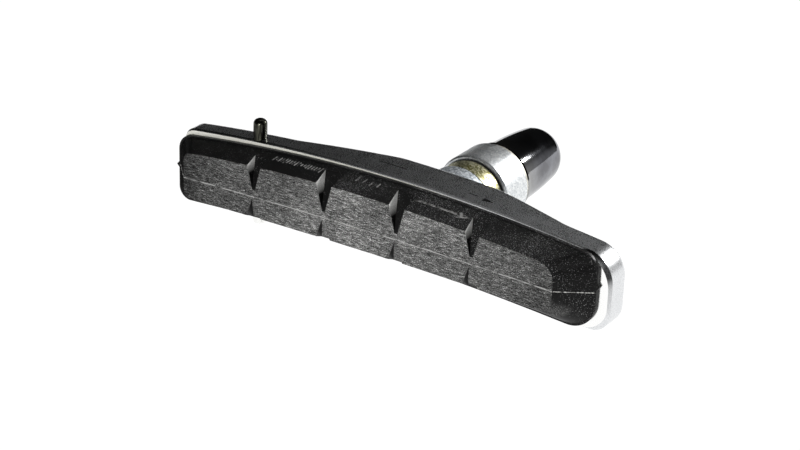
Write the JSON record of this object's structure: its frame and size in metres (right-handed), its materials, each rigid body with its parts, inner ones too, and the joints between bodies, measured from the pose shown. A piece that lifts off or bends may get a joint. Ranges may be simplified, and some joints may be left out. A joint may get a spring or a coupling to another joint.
{
  "type": "rim brake pad",
  "caption": "Bicycle rim brake shoe: grooved rubber insert held by a split pin in a curved aluminium holder, with a stud, swivelling washers and a socket-head nut.",
  "frame": {"origin": "on the stud axis, where the washers bear on the back of the holder", "axes": "+X along the shoe towards its closed end, +Y along the stud away from the rim, +Z away from the wheel axle"},
  "size_m": [0.0745, 0.0395, 0.0168],
  "materials": {
    "holder": "cast, satin",
    "pad": "moulded, matt on the braking face, smooth on the sides",
    "split_pin": "drawn wire, dark bright finish",
    "stud": "zinc plated",
    "spacer": "zinc plated, blue tint",
    "ball_washer": "zinc plated, yellow tint",
    "cup_washer": "zinc plated, bright",
    "flat_washer": "zinc plated, bright",
    "nut": "black oxide, glossy"
  },
  "bodies": {
    "root": {"holder": "holder", "pad": "pad", "split_pin": "split_pin", "stud": "stud", "spacer": "spacer", "ball_washer": "ball_washer", "cup_washer": "cup_washer", "flat_washer": "flat_washer", "nut": "nut"}
  },
  "joints": []
}
